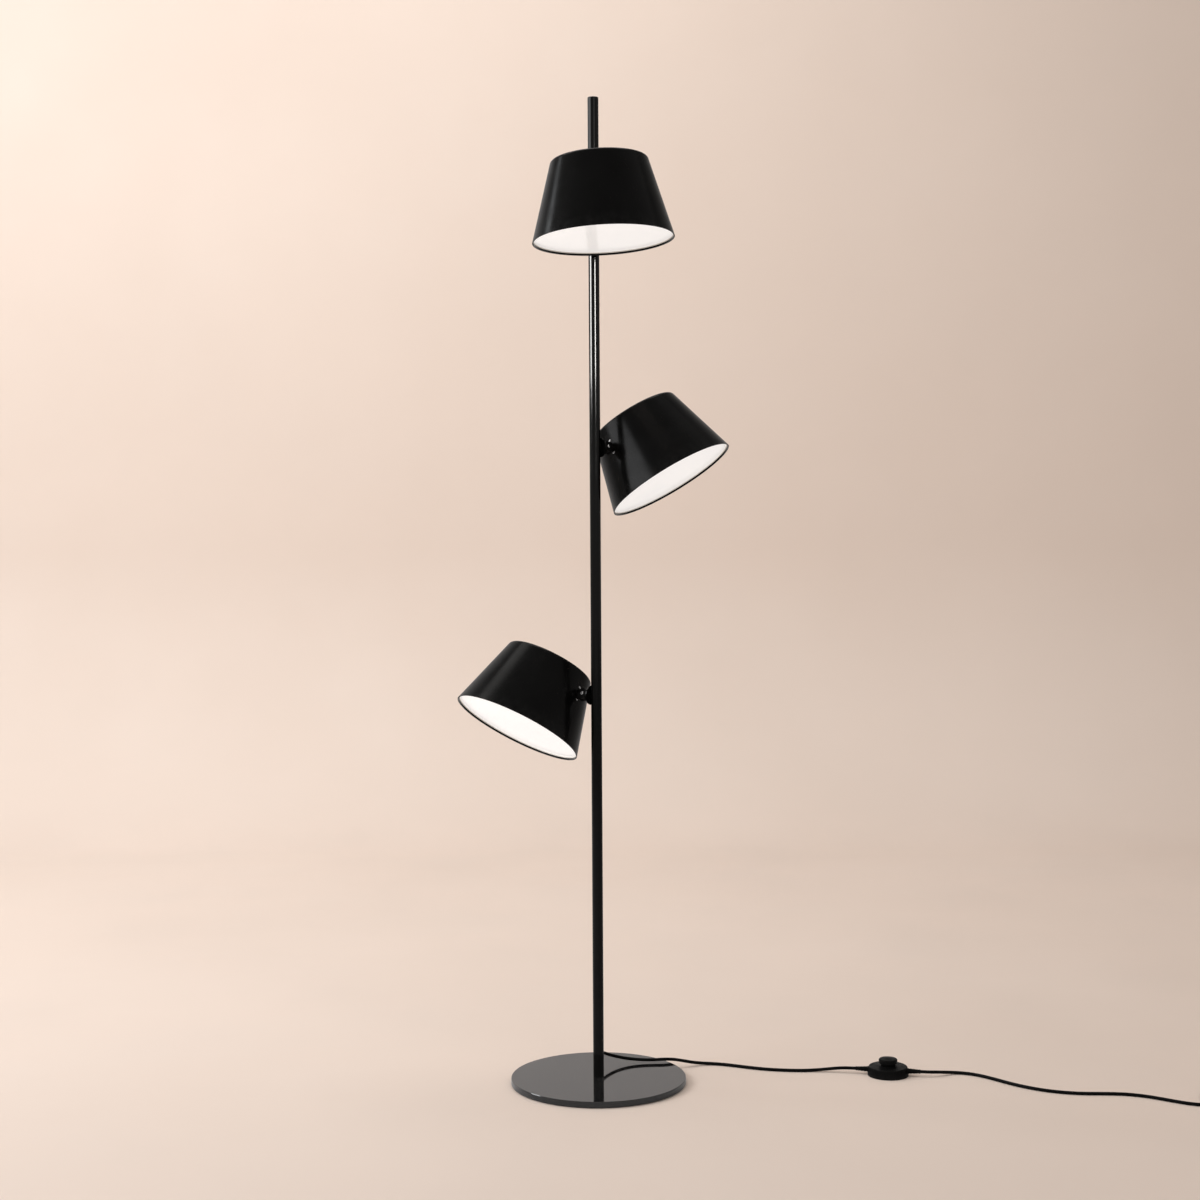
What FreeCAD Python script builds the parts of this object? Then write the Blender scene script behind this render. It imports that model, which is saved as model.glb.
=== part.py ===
import FreeCAD, Part
import math
import os

import Sketcher
from FreeCAD import Placement, Rotation, Vector

# A free-standing floor lamp: a round weighted base, a two-piece tube pole and
# three conical shades, each on its own swivel and tilt joint.
# Millimetres, +Z up, origin on the floor under the middle of the pole.

doc = FreeCAD.newDocument("pole_lamp")

# ---------------------------------------------------------------------------
# Driving dimensions
# ---------------------------------------------------------------------------
SIZES = {
    # base, standing on a thin foam pad
    "base_diameter": 280, "base_thickness": 9, "base_edge_break": 0.8,
    "pad_thickness": 1.5, "pad_inset": 5,
    "bolt_diameter": 8, "bolt_head_diameter": 13, "bolt_head_height": 5,
    "bolt_length": 20, "bolt_key_width": 6, "bolt_key_depth": 3,
    "washer_diameter": 20, "washer_thickness": 1.6, "bolt_clearance": 0.3,
    "recess_diameter": 24, "recess_headroom": 0.4,
    # pole
    "pole_diameter": 17, "pole_wall": 1.2, "lower_length": 800,
    "upper_length": 747.5, "joiner_length": 80, "joiner_wall": 1.5,
    "spigot_height": 20, "cap_thickness": 2, "cap_plug_length": 10, "cap_edge_break": 0.8,
    # wiring inside the pole
    "flex_diameter": 4, "flex_start": 34, "clip_height": 6,
    # swivel joints, one set for all three heads
    "rosette_diameter": 31, "rosette_edge": 1.4, "rosette_middle": 2.4,
    "rosette_standoff": 0.6, "rosette_collar": 13, "collar_depth": 2.5,
    "stem_diameter": 6, "stem_bore": 3, "stem_clearance": 0.05,
    "stem_reach": 6.1, "saddle_diameter": 9.4, "saddle_flat": 5.2, "saddle_gap": 0.05,
    "nut_diameter": 9, "nut_thickness": 2.7,
    "friction_diameter": 14, "friction_thickness": 0.8, "sliding_gap": 0.05,
    # hinge
    "pivot_reach": 26, "cheek_diameter": 19, "fork_width": 11, "fork_slot": 5,
    "web_gap": 0.6, "neck_diameter": 9, "cheek_edge_break": 0.7,
    "pin_diameter": 4, "pin_clearance": 0.05, "pin_head_diameter": 5.6,
    "pin_head_height": 0.7, "eye_diameter": 17, "tongue_clearance": 0.05,
    "arm_height": 12, "arm_clearance": 0.1,
    "flange_height": 25, "flange_thickness": 1.6, "flange_angle": 16,
    "rivet_diameter": 3, "rivet_head_diameter": 5.4, "rivet_head_height": 0.9,
    "rivet_spread": 9.3,
    # shades, all three alike
    "rim_diameter": 215, "crown_diameter": 147, "shade_height": 122,
    "shade_wall": 1.2, "crown_round": 6, "crown_inside_break": 3, "hem_height": 3, "hem_width": 2,
    "shade_offset": 94.5, "hinge_height": 84,
    "diffuser_recess": 4.5, "diffuser_thickness": 2, "skirt_height": 12,
    "skirt_wall": 1.5,
    "plate_diameter": 124, "plate_thickness": 2, "plate_drop": 14, "boss_diameter": 26,
    "board_diameter": 104, "board_thickness": 1.6, "chip_count": 12,
    "chip_size": 3.5, "chip_height": 0.8, "chip_circle": 80,
    # mains lead
    "lead_diameter": 5.2, "lead_height": 37.5, "grip_length": 24,
    "grip_root_diameter": 9.5, "grip_tip_diameter": 6.6, "grip_collar_diameter": 11,
    "grip_collar_height": 1.6, "grip_spigot_diameter": 7,
    # foot switch in the lead
    "switch_diameter": 66, "switch_top_diameter": 62, "switch_rise": 14.4,
    "switch_crown": 16, "switch_wall": 2, "switch_floor": 2.2, "switch_sole_height": 4,
    "switch_edge_break": 0.8,
    "button_diameter": 30, "button_top": 28.5, "button_skirt": 20, "button_edge_break": 1.2,
    "button_neck_diameter": 23.2, "button_opening": 24, "button_wall": 2,
    "button_flange_diameter": 25.8, "button_flange_height": 1.4, "button_play": 0.3,
    "post_diameter": 6, "button_travel": 3, "module_diameter": 17, "module_gap": 0.6,
    "relief_length": 20, "relief_depth": 2, "relief_root_diameter": 9,
    "relief_tip_diameter": 6.4, "relief_height": 8,
    "screw_diameter": 3, "screw_head_diameter": 5.5, "screw_head_height": 1.4,
    "screw_circle": 50, "screw_length": 6, "screw_post_diameter": 7,
    "screw_recess": 0.2,
    # put-away coil and plug
    "coil_diameter": 57, "coil_width": 15.6, "coil_height": 11, "coil_edge_break": 1.8,
    "coil_tail": 14, "tail_root": 9, "plug_length": 34, "plug_width": 26, "plug_height": 15.6,
    "plug_nose": 21, "plug_waist": 15, "plug_round": 3, "plug_tail": 20,
    "plug_tail_diameter": 8.4, "plug_tip_diameter": 6.4,
    "prong_diameter": 4, "prong_length": 19, "prong_pitch": 19, "prong_tip": 1,
}

# Where each head sits: height of its hinge, direction round the pole, and the
# swivel and tilt at rest, in degrees.
HEADS = {
    "top": {"height": 1397, "around": -84.7, "swivel": 2.4, "tilt": 5.1},
    "middle": {"height": 1015, "around": 41, "swivel": -29, "tilt": 14.5},
    "lower": {"height": 623, "around": 144, "swivel": 31.5, "tilt": 9.8},
}

CLIP_HEIGHTS = (64, 420, 930, 1290)

# The lead's route, chosen by hand: from the pole over the base to the switch,
# and on from the switch to the coil.
SWITCH_CENTRE = Vector(469, 33, 0)
SWITCH_TURN = -12
COIL_CENTRE = Vector(966, -112, 0)

ROUTE_TO_SWITCH = (
    (0, 44.5, 37.5), (5, 55.5, 34), (16, 64, 27.6), (31, 70, 22), (49, 73, 17.8),
    (70, 74, 15.6), (90, 74.5, 15.2), (108, 76.5, 15.8), (125, 79.5, 14.4), (140, 84, 10.6),
    (154, 89.5, 6.6), (169, 94, 3.8), (186, 95, 2.7), (206, 90, 2.6), (228, 80, 2.6),
    (252, 68.5, 2.6), (278, 59, 2.6), (306, 53.5, 2.6), (333, 51.5, 2.6),
    (356, 52.5, 3.2), (374, 51.8, 4.9), (390, 49.6, 7), (405.2, 46.6, 8),
)
ROUTE_TO_COIL = (
    (532.4, 19.6, 8), (545.5, 22, 7.2), (558, 28, 5.2), (571, 32.5, 3.6), (586, 33.5, 2.6),
    (603, 26.5, 2.6), (620, 13, 2.6), (636, -5, 2.6), (653, -26, 2.6), (673, -46, 2.6),
    (696, -63.5, 2.6), (724, -77, 2.6), (756, -84.5, 2.6), (790, -85, 2.6),
    (822, -88, 2.6), (851, -100, 2.6), (877, -119, 2.6), (902, -137.5, 2.6),
    (920.5, -145.7, 2.6),
)


def make_sheet():
    sheet = doc.addObject("Spreadsheet::Sheet", "Sizes")
    entries = dict(SIZES)
    for head, pose in HEADS.items():
        for word, number in pose.items():
            entries[head + "_" + word] = number
    for row, (alias, number) in enumerate(entries.items(), start=1):
        sheet.set("A%d" % row, alias)
        sheet.set("B%d" % row, str(number))
        sheet.setAlias("B%d" % row, alias)
    doc.recompute()
    return sheet


sheet = make_sheet()


def size(alias):
    return float(sheet.get(alias))


def formula(text):
    """Turn words of the sheet into references to its cells."""
    marks = "+-*/() "
    word = ""
    result = ""
    for letter in text + " ":
        if letter in marks:
            result += "Sizes." + word if word and word[0].isalpha() else word
            result += letter
            word = ""
        else:
            word += letter
    return result.strip()


# ---------------------------------------------------------------------------
# Helpers for bodies, sketches and features
# ---------------------------------------------------------------------------
sub_parts = {}


def keep(item, name, placement=None):
    """Name a finished object as a sub-part and set it in its place."""
    item.Label = name
    if placement is not None:
        item.Placement = placement
    sub_parts[name] = item
    return item


def new_body(name):
    return doc.addObject("PartDesign::Body", name + "_body")


def origin_plane(body, role):
    return next(item for item in body.Origin.OriginFeatures if item.Role == role)


def new_sketch(body, name, role):
    sketch = body.newObject("Sketcher::SketchObject", name)
    sketch.AttachmentSupport = [(origin_plane(body, role), "")]
    sketch.MapMode = "FlatFace"
    return sketch


def hold_point(sketch, geometry, corner, across, along):
    """Fix a point at two distances from the sketch's origin, 0 being on an axis."""
    for kind, axis, text in (("DistanceX", -2, across), ("DistanceY", -1, along)):
        if text == 0:
            sketch.addConstraint(Sketcher.Constraint("PointOnObject", geometry, corner, axis))
            continue
        index = sketch.addConstraint(Sketcher.Constraint(kind, -1, 1, geometry, corner, 1.0))
        sketch.setExpression("Constraints[%d]" % index, formula(text))


def outline(body, name, role, corners):
    """A closed outline of straight lines, each corner given by two formulas."""
    sketch = new_sketch(body, name, role)
    count = len(corners)
    start = [Vector(10 + 5 * math.cos(2 * math.pi * step / count),
                    10 + 5 * math.sin(2 * math.pi * step / count), 0)
             for step in range(count)]
    for step in range(count):
        sketch.addGeometry(Part.LineSegment(start[step], start[(step + 1) % count]), False)
    for step in range(count):
        sketch.addConstraint(
            Sketcher.Constraint("Coincident", step, 2, (step + 1) % count, 1))
    for step, (across, along) in enumerate(corners):
        hold_point(sketch, step, 1, across, along)
    doc.recompute()
    return sketch


def rounds(body, name, role, circles):
    """Circles, each given by the formulas of its centre and its radius."""
    sketch = new_sketch(body, name, role)
    for step, (across, along, radius) in enumerate(circles):
        sketch.addGeometry(Part.Circle(Vector(5, 5, 0), Vector(0, 0, 1), 1 + step), False)
        hold_point(sketch, step, 3, across, along)
        index = sketch.addConstraint(Sketcher.Constraint("Radius", step, 1.0))
        sketch.setExpression("Constraints[%d]" % index, formula(radius))
    doc.recompute()
    return sketch


def revolve(body, name, sketch, axis="V_Axis", angle=None):
    feature = body.newObject("PartDesign::Revolution", name)
    feature.Profile = sketch
    feature.ReferenceAxis = (sketch, [axis])
    if angle is None:
        feature.Angle = 360
    else:
        feature.Midplane = True
        feature.setExpression("Angle", formula(angle))
    doc.recompute()
    return feature


def pad(body, name, sketch, length, middle=False, down=False):
    feature = body.newObject("PartDesign::Pad", name)
    feature.Profile = sketch
    feature.setExpression("Length", formula(length))
    feature.Midplane = middle
    feature.Reversed = down
    doc.recompute()
    return feature


def pocket(body, name, sketch, length, middle=False, down=False):
    """Cut a sketch out of a body, and stop if the cut took nothing away."""
    before = body.Shape.Volume
    feature = body.newObject("PartDesign::Pocket", name)
    feature.Profile = sketch
    feature.setExpression("Length", formula(length))
    feature.Midplane = middle
    feature.Reversed = down
    doc.recompute()
    if body.Shape.Volume >= before - 1e-6:
        raise RuntimeError(name + " cuts nothing")
    return feature


def ring_edges(shape, radius, test=None):
    """Names of the circular edges of one radius, for fillets and chamfers."""
    names = []
    for index, edge in enumerate(shape.Edges, start=1):
        curve = edge.Curve
        if isinstance(curve, Part.Circle) and abs(curve.Radius - radius) < 1e-4:
            if test is None or test(curve.Center):
                names.append("Edge%d" % index)
    return names


def fillet(body, name, radius_text, edge_names):
    last = body.Tip
    feature = body.newObject("PartDesign::Fillet", name)
    feature.Base = (last, edge_names)
    feature.setExpression("Radius", formula(radius_text))
    doc.recompute()
    return feature


def chamfer(body, name, size_text, edge_names):
    last = body.Tip
    feature = body.newObject("PartDesign::Chamfer", name)
    feature.Base = (last, edge_names)
    feature.setExpression("Size", formula(size_text))
    doc.recompute()
    return feature


def spun(name, corners, placement=None):
    """A turned piece: one outline revolved about its own Z axis."""
    body = new_body(name)
    revolve(body, name + "_turn", outline(body, name + "_profile", "XZ_Plane", corners))
    return keep(body, name, placement)


def solid_feature(name, shape, placement=None):
    feature = doc.addObject("Part::Feature", name + "_shape")
    feature.Shape = shape
    return keep(feature, name, placement)


def lift(height):
    return Placement(Vector(0, 0, height), Rotation())


def cylinder(name, radius, height, placement=None):
    """A plain cylinder whose radius and height are formulas."""
    item = doc.addObject("Part::Cylinder", name)
    item.setExpression("Radius", formula(radius))
    item.setExpression("Height", formula(height))
    if placement is not None:
        item.Placement = placement
    doc.recompute()
    return item


def hexagon(name, width, height, placement):
    """A hexagonal bar, given the width across its corners."""
    item = doc.addObject("Part::Prism", name)
    item.Polygon = 6
    item.setExpression("Circumradius", formula(width + " / 2"))
    item.setExpression("Height", formula(height))
    item.Placement = placement
    doc.recompute()
    return item


def cut(name, base, tools):
    """Take tools away from a base, one after the other."""
    result = base
    for step, tool in enumerate(tools):
        feature = doc.addObject("Part::Cut", "%s_cut_%d" % (name, step))
        feature.Base = result
        feature.Tool = tool
        doc.recompute()
        if feature.Shape.Volume >= result.Shape.Volume - 1e-6:
            raise RuntimeError("%s: tool %d cuts nothing" % (name, step))
        result = feature
    return result


# ---------------------------------------------------------------------------
# Places that several pieces share
# ---------------------------------------------------------------------------
base_under = size("pad_thickness")
base_top = base_under + size("base_thickness")
pole_radius = size("pole_diameter") / 2
bore_radius = pole_radius - size("pole_wall")
recess_depth = size("washer_thickness") + size("bolt_head_height") + size("recess_headroom")
washer_under = base_under + recess_depth - size("washer_thickness")
seam_height = base_top + size("lower_length")
cap_seat = seam_height + size("upper_length")
RADIAL_UP = Rotation(Vector(0, 1, 0), 90)


# ---------------------------------------------------------------------------
# Base
# ---------------------------------------------------------------------------
def make_base():
    spun("floor_pad", [
        (0, 0), ("base_diameter/2 - pad_inset", 0),
        ("base_diameter/2 - pad_inset", "pad_thickness"), (0, "pad_thickness")])

    depth = "(washer_thickness + bolt_head_height + recess_headroom)"
    hole = "(bolt_diameter/2 + bolt_clearance)"
    plate = new_body("base_plate")
    profile = outline(plate, "base_profile", "XZ_Plane", [
        ("recess_diameter/2", 0), ("base_diameter/2", 0),
        ("base_diameter/2", "base_thickness"), (hole, "base_thickness"),
        (hole, depth), ("recess_diameter/2", depth)])
    revolve(plate, "base_turn", profile)
    chamfer(plate, "base_edge", "base_edge_break",
            ring_edges(plate.Shape, size("base_diameter") / 2,
                       lambda centre: centre.z > size("base_thickness") / 2))
    keep(plate, "base_plate", lift(base_under))

    spun("base_washer", [
        (hole, 0), ("washer_diameter/2", 0),
        ("washer_diameter/2", "washer_thickness"), (hole, "washer_thickness")],
        lift(washer_under))

    head_under = washer_under - size("bolt_head_height")
    blank = new_body("bolt_blank")
    profile = outline(blank, "bolt_profile", "XZ_Plane", [
        (0, 0), ("bolt_head_diameter/2", 0), ("bolt_head_diameter/2", "bolt_head_height"),
        ("bolt_diameter/2", "bolt_head_height"),
        ("bolt_diameter/2", "bolt_head_height + bolt_length"),
        (0, "bolt_head_height + bolt_length")])
    revolve(blank, "bolt_turn", profile)
    blank.Placement = lift(head_under)
    key = hexagon("bolt_key", "bolt_key_width", "bolt_key_depth", lift(head_under))
    keep(cut("base_bolt", blank, [key]), "base_bolt")

    spun("pole_spigot", [
        ("bolt_diameter/2", 0), ("pole_diameter/2 - pole_wall", 0),
        ("pole_diameter/2 - pole_wall", "spigot_height"),
        ("bolt_diameter/2", "spigot_height")], lift(base_top))


# ---------------------------------------------------------------------------
# Pole: two tubes, the ferrule that joins them and the cap
# ---------------------------------------------------------------------------
def head_frame(head):
    """Pole axis at the hinge's height, X pointing out towards the head."""
    pose = [size(head + "_" + word) for word in ("height", "around")]
    return Placement(Vector(0, 0, pose[0]), Rotation(Vector(0, 0, 1), pose[1]))


def stem_drill(head, name):
    place = head_frame(head).multiply(Placement(Vector(), RADIAL_UP))
    return cylinder(name, "stem_diameter/2 + stem_clearance", "pole_diameter", place)


def make_tube(name, length, bottom, drills):
    bore = "(pole_diameter/2 - pole_wall)"
    tube = new_body(name)
    profile = outline(tube, name + "_profile", "XZ_Plane", [
        (bore, 0), ("pole_diameter/2", 0), ("pole_diameter/2", length), (bore, length)])
    revolve(tube, name + "_turn", profile)
    tube.Placement = lift(bottom)
    keep(cut(name, tube, drills), name)


def make_pole():
    outlet = Placement(Vector(0, 0, size("lead_height")), Rotation(Vector(1, 0, 0), -90))
    lead_drill = cylinder("lead_drill", "grip_spigot_diameter/2", "pole_diameter", outlet)
    tubes = {"pole_lower": [lead_drill], "pole_upper": []}
    for head in HEADS:
        tube = "pole_lower" if size(head + "_height") < seam_height else "pole_upper"
        tubes[tube].append(stem_drill(head, "stem_drill_" + head))
    make_tube("pole_lower", "lower_length", base_top, tubes["pole_lower"])
    make_tube("pole_upper", "upper_length", seam_height, tubes["pole_upper"])

    bore = "(pole_diameter/2 - pole_wall)"
    spun("pole_joiner", [
        (bore + " - joiner_wall", 0), (bore, 0), (bore, "joiner_length"),
        (bore + " - joiner_wall", "joiner_length")],
        lift(seam_height - size("joiner_length") / 2))

    cap = new_body("pole_cap")
    profile = outline(cap, "cap_profile", "XZ_Plane", [
        (0, 0), (bore, 0), (bore, "cap_plug_length"),
        ("pole_diameter/2", "cap_plug_length"),
        ("pole_diameter/2", "cap_plug_length + cap_thickness"),
        (0, "cap_plug_length + cap_thickness")])
    revolve(cap, "cap_turn", profile)
    top = size("cap_plug_length") + size("cap_thickness")
    chamfer(cap, "cap_edge", "cap_edge_break",
            ring_edges(cap.Shape, pole_radius, lambda centre: abs(centre.z - top) < 1e-4))
    keep(cap, "pole_cap", lift(cap_seat - size("cap_plug_length")))

    flex = cylinder("inner_flex_core", "flex_diameter/2",
                    "top_height - flex_start + flex_diameter", lift(size("flex_start")))
    keep(flex, "inner_flex")
    clips = []
    for height in CLIP_HEIGHTS:
        clip = Part.makeCylinder(bore_radius, size("clip_height"), Vector(0, 0, height))
        clips.append(clip.cut(Part.makeCylinder(
            size("flex_diameter") / 2, size("clip_height"), Vector(0, 0, height))))
    solid_feature("flex_clips", Part.makeCompound(clips))


# ---------------------------------------------------------------------------
# Joints on the pole: rosette, saddle washer, and the turning stem
# ---------------------------------------------------------------------------
ROSETTE_BACK = "(pole_diameter/2 + rosette_standoff)"
ROSETTE_FRONT = "(pole_diameter/2 + rosette_standoff + rosette_middle)"
WASHER_BACK = "(pole_diameter/2 + rosette_standoff + rosette_middle + sliding_gap)"
NECK_BACK = ("(pole_diameter/2 + rosette_standoff + rosette_middle"
             " + sliding_gap + friction_thickness)")
STEM_END = "(saddle_flat - saddle_gap - nut_thickness)"


def make_rosette(head):
    name = "rosette_" + head
    bore = "stem_diameter/2 + stem_clearance"
    collar = "pole_diameter/2 + rosette_standoff - collar_depth"
    body = new_body(name)
    profile = outline(body, name + "_profile", "XZ_Plane", [
        (bore, collar), ("rosette_collar/2", collar), ("rosette_collar/2", ROSETTE_BACK),
        ("rosette_diameter/2", ROSETTE_BACK),
        ("rosette_diameter/2", ROSETTE_BACK + " + rosette_edge"),
        ("friction_diameter/2", ROSETTE_FRONT), (bore, ROSETTE_FRONT)])
    revolve(body, name + "_turn", profile)
    body.Placement = head_frame(head).multiply(Placement(Vector(), RADIAL_UP))
    low = size(head + "_height") - size("rosette_diameter")
    pole_core = cylinder(name + "_seat", "pole_diameter/2", "2 * rosette_diameter",
                         lift(low))
    keep(cut(name, body, [pole_core]), name)


def saddle_shape(head):
    """A washer flat on the inside and fitted to the tube's bore outside."""
    flat = size("saddle_flat")
    outward = Vector(1, 0, 0)
    disc = Part.makeCylinder(size("saddle_diameter") / 2, pole_radius, Vector(flat, 0, 0), outward)
    reach = size("saddle_diameter")
    bore = Part.makeCylinder(bore_radius, 2 * reach, Vector(0, 0, -reach))
    hole = Part.makeCylinder(size("stem_diameter") / 2 + size("stem_clearance"),
                             pole_radius, Vector(flat, 0, 0), outward)
    washer = disc.common(bore).cut(hole)
    washer.Placement = head_frame(head)
    return washer


def swivel_frame(head):
    turn = Rotation(Vector(1, 0, 0), size(head + "_swivel"))
    return head_frame(head).multiply(Placement(Vector(), turn))


def make_knuckle(head):
    """Stem, neck and the two round cheeks of the hinge, in one turned and milled piece."""
    name = "knuckle_" + head
    body = new_body(name)
    stem = outline(body, name + "_stem", "XZ_Plane", [
        (STEM_END, 0), (STEM_END, "stem_diameter/2"), (NECK_BACK, "stem_diameter/2"),
        (NECK_BACK, "neck_diameter/2"), ("pivot_reach", "neck_diameter/2"),
        ("pivot_reach", 0)])
    revolve(body, name + "_turn", stem, "H_Axis")
    cheeks = rounds(body, name + "_cheeks", "XZ_Plane", [
        ("pivot_reach", 0, "cheek_diameter/2")])
    pad(body, name + "_hinge", cheeks, "fork_width", middle=True)
    web = "pivot_reach - eye_diameter/2 - web_gap"
    slot = outline(body, name + "_slot", "XY_Plane", [
        (web, "-fork_slot/2"), ("pivot_reach + cheek_diameter", "-fork_slot/2"),
        ("pivot_reach + cheek_diameter", "fork_slot/2"), (web, "fork_slot/2")])
    pocket(body, name + "_fork", slot, "2 * cheek_diameter", middle=True)
    chamfer(body, name + "_edges", "cheek_edge_break", ring_edges(
        body.Shape, size("cheek_diameter") / 2,
        lambda centre: abs(abs(centre.y) - size("fork_width") / 2) < 1e-4))
    hole = rounds(body, name + "_eye", "XZ_Plane", [("pivot_reach", 0, "pin_diameter/2")])
    pocket(body, name + "_pin_hole", hole, "2 * fork_width", middle=True)
    bore = rounds(body, name + "_wire", "YZ_Plane", [(0, 0, "stem_bore/2")])
    pocket(body, name + "_wire_hole", bore, "pivot_reach", down=True)
    keep(body, name, swivel_frame(head))


def make_swivel(head):
    make_knuckle(head)
    along = swivel_frame(head).multiply(Placement(Vector(), RADIAL_UP))
    spun("friction_washer_" + head, [
        ("stem_diameter/2", WASHER_BACK), ("friction_diameter/2", WASHER_BACK),
        ("friction_diameter/2", NECK_BACK), ("stem_diameter/2", NECK_BACK)], along)

    name = "stem_nut_" + head
    seat = along.multiply(lift(size("saddle_flat") - size("saddle_gap")
                               - size("nut_thickness")))
    blank = hexagon(name + "_blank", "nut_diameter", "nut_thickness", seat)
    thread = cylinder(name + "_thread", "stem_diameter/2", "nut_thickness", seat)
    keep(cut(name, blank, [thread]), name)

    name = "hinge_pin_" + head
    half = "fork_width/2"
    across = swivel_frame(head).multiply(
        Placement(Vector(size("pivot_reach"), 0, 0), Rotation(Vector(1, 0, 0), 90)))
    spun(name, [
        (0, "-fork_width/2 - pin_head_height"),
        ("pin_diameter/2", "-fork_width/2 - pin_head_height"),
        ("pin_head_diameter/2", "-fork_width/2"), ("pin_diameter/2", "-fork_width/2"),
        ("pin_diameter/2", half), ("pin_head_diameter/2", half),
        ("pin_diameter/2", half + " + pin_head_height"),
        (0, half + " + pin_head_height")], across)


# ---------------------------------------------------------------------------
# Heads: shade, hinge tongue, diffuser and light source
# ---------------------------------------------------------------------------
# Each head is drawn about the shade's own axis, the rim at Z = 0, with X
# pointing to the hinge.
TAPER = "((rim_diameter - crown_diameter) / 2 / shade_height)"
CROWN_INSIDE = "(shade_height - shade_wall)"


def outer_radius(height):
    return "(rim_diameter/2 - %s * (%s))" % (TAPER, height)


def inner_radius(height):
    return outer_radius(height) + " - shade_wall"


def rim_frame(head):
    tilt = Placement(Vector(size("pivot_reach"), 0, 0),
                     Rotation(Vector(0, 1, 0), -size(head + "_tilt")))
    back = Placement(Vector(size("shade_offset"), 0, -size("hinge_height")),
                     Rotation(Vector(0, 0, 1), 180))
    return swivel_frame(head).multiply(tilt).multiply(back)


def make_shade(head):
    name = "shade_" + head
    body = new_body(name)
    profile = outline(body, name + "_profile", "XZ_Plane", [
        ("rim_diameter/2 - hem_width", 0), ("rim_diameter/2", 0),
        ("crown_diameter/2", "shade_height"), (0, "shade_height"),
        (0, CROWN_INSIDE), (inner_radius(CROWN_INSIDE), CROWN_INSIDE),
        (inner_radius("hem_height"), "hem_height"),
        ("rim_diameter/2 - hem_width", "hem_height")])
    revolve(body, name + "_spin", profile)
    wall = size("shade_wall")
    slope = (size("rim_diameter") - size("crown_diameter")) / 2 / size("shade_height")
    inside = size("crown_diameter") / 2 + slope * wall - wall
    fillet(body, name + "_crown", "crown_round",
           ring_edges(body.Shape, size("crown_diameter") / 2))
    chamfer(body, name + "_crown_inside", "crown_inside_break",
            ring_edges(body.Shape, inside))
    half = "(arm_height/2 + arm_clearance)"
    slot = outline(body, name + "_slot", "XZ_Plane", [
        ("crown_diameter/2", "hinge_height - " + half),
        ("shade_offset", "hinge_height - " + half),
        ("shade_offset", "hinge_height + " + half),
        ("crown_diameter/2", "hinge_height + " + half)])
    pocket(body, name + "_window", slot, "fork_slot", middle=True)
    body.Placement = rim_frame(head)
    keep(cut(name, body, rivet_drills(head, name)), name)


def make_tongue(head):
    """Hinge eye and arm, ending in a curved flange inside the shade's wall."""
    name = "hinge_tongue_" + head
    body = new_body(name)
    low = "(hinge_height - flange_height/2)"
    high = "(hinge_height + flange_height/2)"
    strip = outline(body, name + "_strip", "XZ_Plane", [
        (inner_radius(low) + " - flange_thickness", low), (inner_radius(low), low),
        (inner_radius(high), high), (inner_radius(high) + " - flange_thickness", high)])
    revolve(body, name + "_flange", strip, angle="flange_angle")
    under = "(hinge_height - arm_height/2)"
    over = "(hinge_height + arm_height/2)"
    arm = outline(body, name + "_arm", "XZ_Plane", [
        (inner_radius(under) + " - flange_thickness/2", under), ("shade_offset", under),
        ("shade_offset", over), (inner_radius(over) + " - flange_thickness/2", over)])
    pad(body, name + "_bar", arm, "fork_slot - 2 * tongue_clearance", middle=True)
    eye = rounds(body, name + "_eye", "XZ_Plane", [
        ("shade_offset", "hinge_height", "eye_diameter/2")])
    pad(body, name + "_eye_pad", eye, "fork_slot - 2 * tongue_clearance", middle=True)
    hole = rounds(body, name + "_hole", "XZ_Plane", [
        ("shade_offset", "hinge_height", "pin_diameter/2 + pin_clearance")])
    pocket(body, name + "_pin_hole", hole, "2 * fork_width", middle=True)
    body.Placement = rim_frame(head)
    keep(cut(name, body, rivet_drills(head, name)), name)


def rivet_frames():
    """Where the two rivets sit on the wall, above and below the arm, Z outwards."""
    slope = (size("rim_diameter") - size("crown_diameter")) / 2 / size("shade_height")
    lean = math.degrees(math.atan(slope))
    frames = []
    for side in (-1, 1):
        height = size("hinge_height") + side * size("rivet_spread")
        seat = size("rim_diameter") / 2 - slope * height
        frames.append(Placement(Vector(seat, 0, height),
                                Rotation(Vector(0, 1, 0), 90 - lean)))
    return frames


def rivet_drills(head, name):
    """Drills for the rivet holes of one piece of a head."""
    drills = []
    for step, frame in enumerate(rivet_frames()):
        place = rim_frame(head).multiply(frame).multiply(lift(-size("rivet_spread") / 2))
        drills.append(cylinder("%s_drill_%d" % (name, step), "rivet_diameter/2",
                               "rivet_spread", place))
    return drills


def make_rivets(head):
    """Two rivets through the wall and the flange, with flat-topped heads outside."""
    grip = size("shade_wall") + size("flange_thickness")
    rivets = []
    for frame in rivet_frames():
        rivet = Part.makeCylinder(size("rivet_diameter") / 2, grip, Vector(0, 0, -grip))
        rivet = rivet.fuse(Part.makeCone(
            size("rivet_head_diameter") / 2, size("rivet_diameter") / 2,
            size("rivet_head_height"))).removeSplitter()
        rivet.Placement = frame
        rivets.append(rivet)
    solid_feature("flange_rivets_" + head, Part.makeCompound(rivets), rim_frame(head))


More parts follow.
